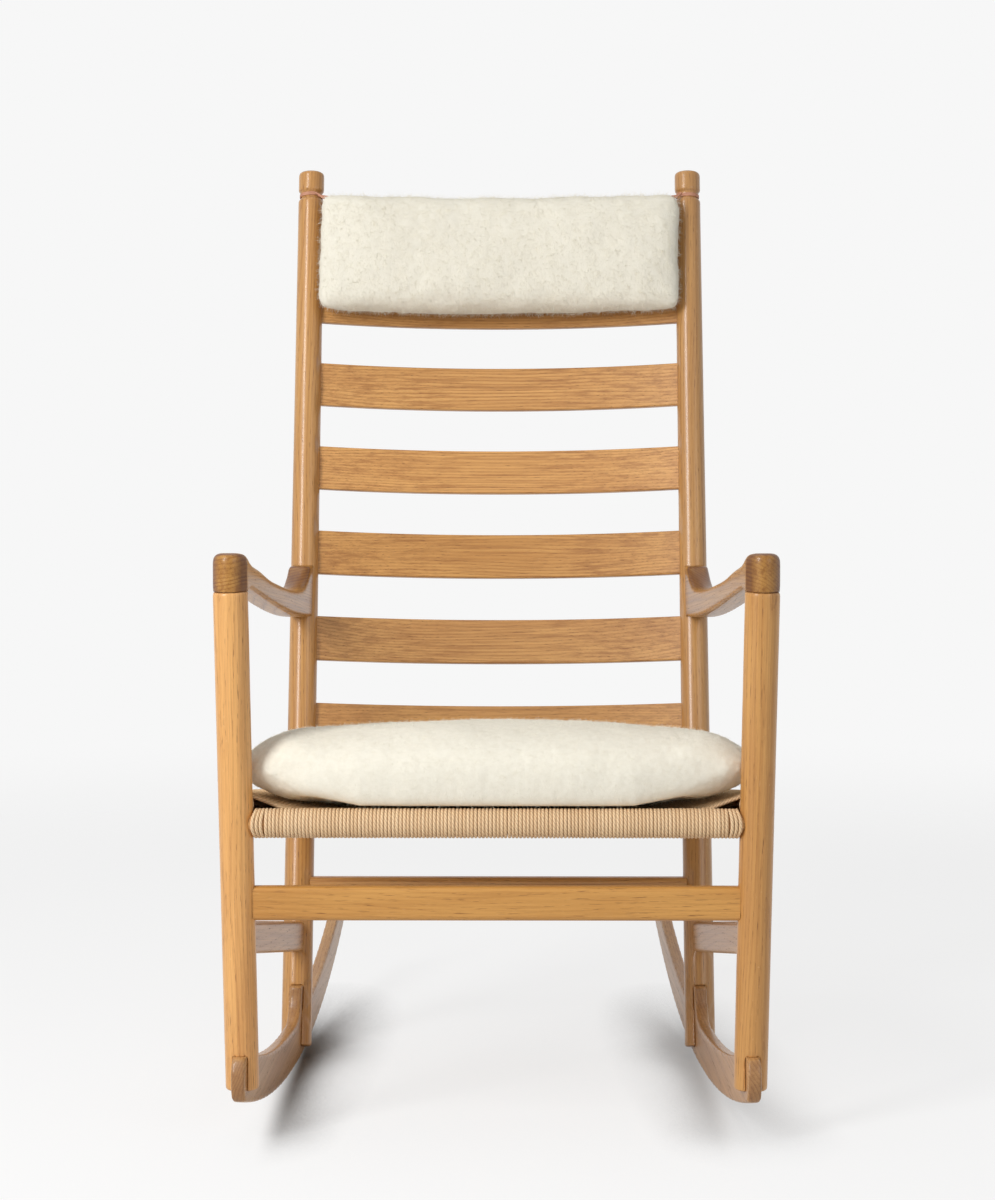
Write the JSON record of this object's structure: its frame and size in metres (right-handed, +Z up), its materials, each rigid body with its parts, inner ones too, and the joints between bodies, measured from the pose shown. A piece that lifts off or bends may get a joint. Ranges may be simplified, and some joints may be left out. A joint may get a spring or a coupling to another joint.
{
  "type": "rocking chair",
  "caption": "High ladder-back rocking chair with turned posts, bowed slats, scooped arms, woven cord seat, loose seat cushion and tied neck pillow.",
  "frame": {"origin": "middle of the footprint on the floor, under the chair standing balanced on its rockers", "axes": "+Z up, -Y towards the front of the chair, +X to the sitter's left (the viewer's right from the front)"},
  "size_m": [0.6174, 0.8214, 1.1024],
  "materials": {
    "oiled_oak": "oiled oak, satin, open grain with flecks",
    "paper_cord": "natural twisted paper cord, slightly waxed",
    "cream_wool": "cream wool cloth with a short raised nap",
    "cushion_filling": "white wadding, hidden inside the cover",
    "tan_leather": "thin vegetable-tanned strap, matt"
  },
  "bodies": {
    "chair_frame": {"front_seat_rail": "oiled_oak", "front_stretcher": "oiled_oak", "back_seat_rail": "oiled_oak", "back_stretcher": "oiled_oak", "left_seat_rail": "oiled_oak", "left_stretcher": "oiled_oak", "right_seat_rail": "oiled_oak", "right_stretcher": "oiled_oak", "back_slat_1": "oiled_oak", "back_slat_2": "oiled_oak", "back_slat_3": "oiled_oak", "back_slat_4": "oiled_oak", "back_slat_5": "oiled_oak", "back_slat_6": "oiled_oak", "back_slat_7": "oiled_oak", "left_rocker": "oiled_oak", "left_arm": "oiled_oak", "left_arm_dowel": "oiled_oak", "left_back_post": "oiled_oak", "left_front_leg": "oiled_oak", "right_rocker": "oiled_oak", "right_arm": "oiled_oak", "right_arm_dowel": "oiled_oak", "right_back_post": "oiled_oak", "right_front_leg": "oiled_oak", "left_pillow_strap": "tan_leather", "right_pillow_strap": "tan_leather", "seat_weave": "paper_cord"},
    "seat_cushion": {"seat_cushion_cover": "cream_wool", "seat_cushion_filling": "cushion_filling"},
    "neck_pillow": {"neck_pillow": "cream_wool"}
  },
  "joints": [
    {"name": "seat_cushion_lift", "type": "slide", "parent": "chair_frame", "child": "seat_cushion", "axis": [0, 0, 1], "range_m": [0, 0.08]},
    {"name": "neck_pillow_swing", "type": "hinge", "parent": "chair_frame", "child": "neck_pillow", "pos_m": [0, 0.26984, 1.07318], "axis": [-1, 0, 0], "range_deg": [0, 90]}
  ]
}
